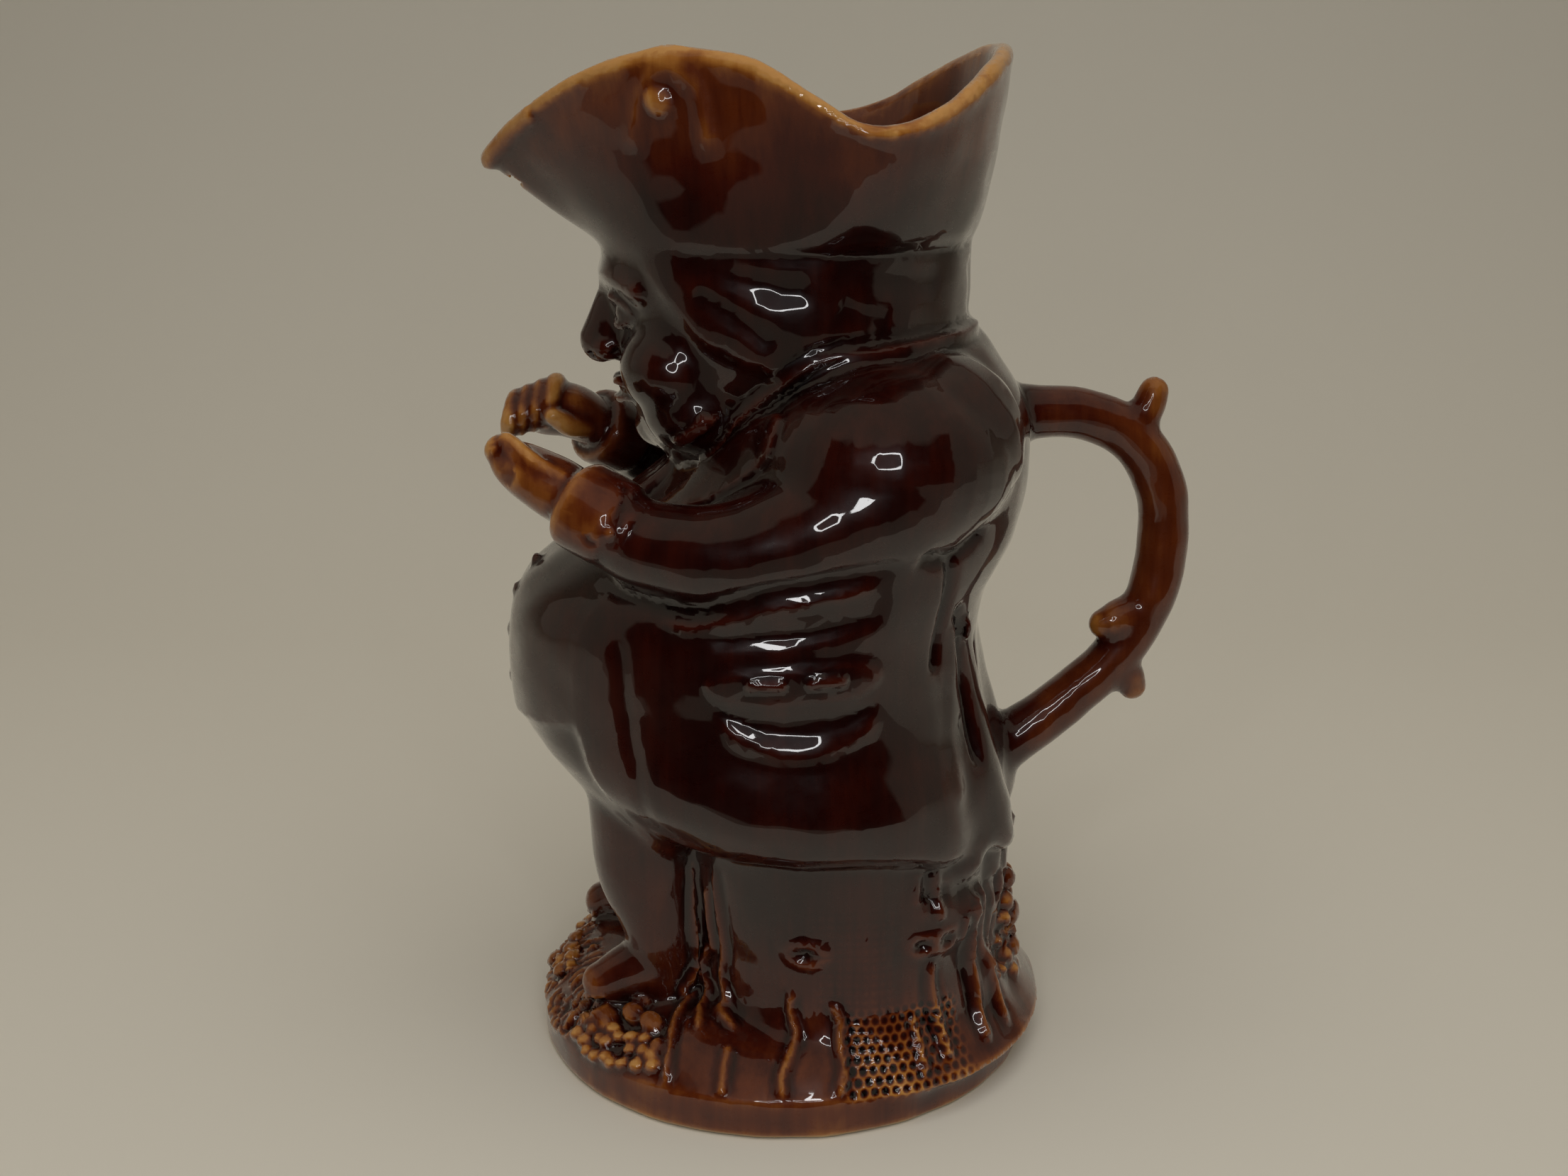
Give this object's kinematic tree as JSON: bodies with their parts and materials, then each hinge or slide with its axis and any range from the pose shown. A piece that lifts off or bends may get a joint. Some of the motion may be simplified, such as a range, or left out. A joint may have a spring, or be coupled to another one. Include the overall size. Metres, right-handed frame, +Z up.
{
  "type": "toby jug",
  "caption": "Hollow pottery jug shaped as a stout standing man in a cocked hat; the hat is the open mouth with a front spout, and a branch is the handle.",
  "frame": {"origin": "on the surface it stands on, under the middle of the jug's outer box, handle included", "axes": "+Z up; the figure faces -Y with the handle towards +Y; +X is the figure's left hand"},
  "size_m": [0.124, 0.171, 0.2447],
  "materials": {
    "glaze": "thick dark brown treacle glaze over cream earthenware, very glossy, amber where it runs thin over edges; gloss_plastic stands in for glazed pottery"
  },
  "bodies": {
    "root": {"jug": "glaze"}
  },
  "joints": []
}
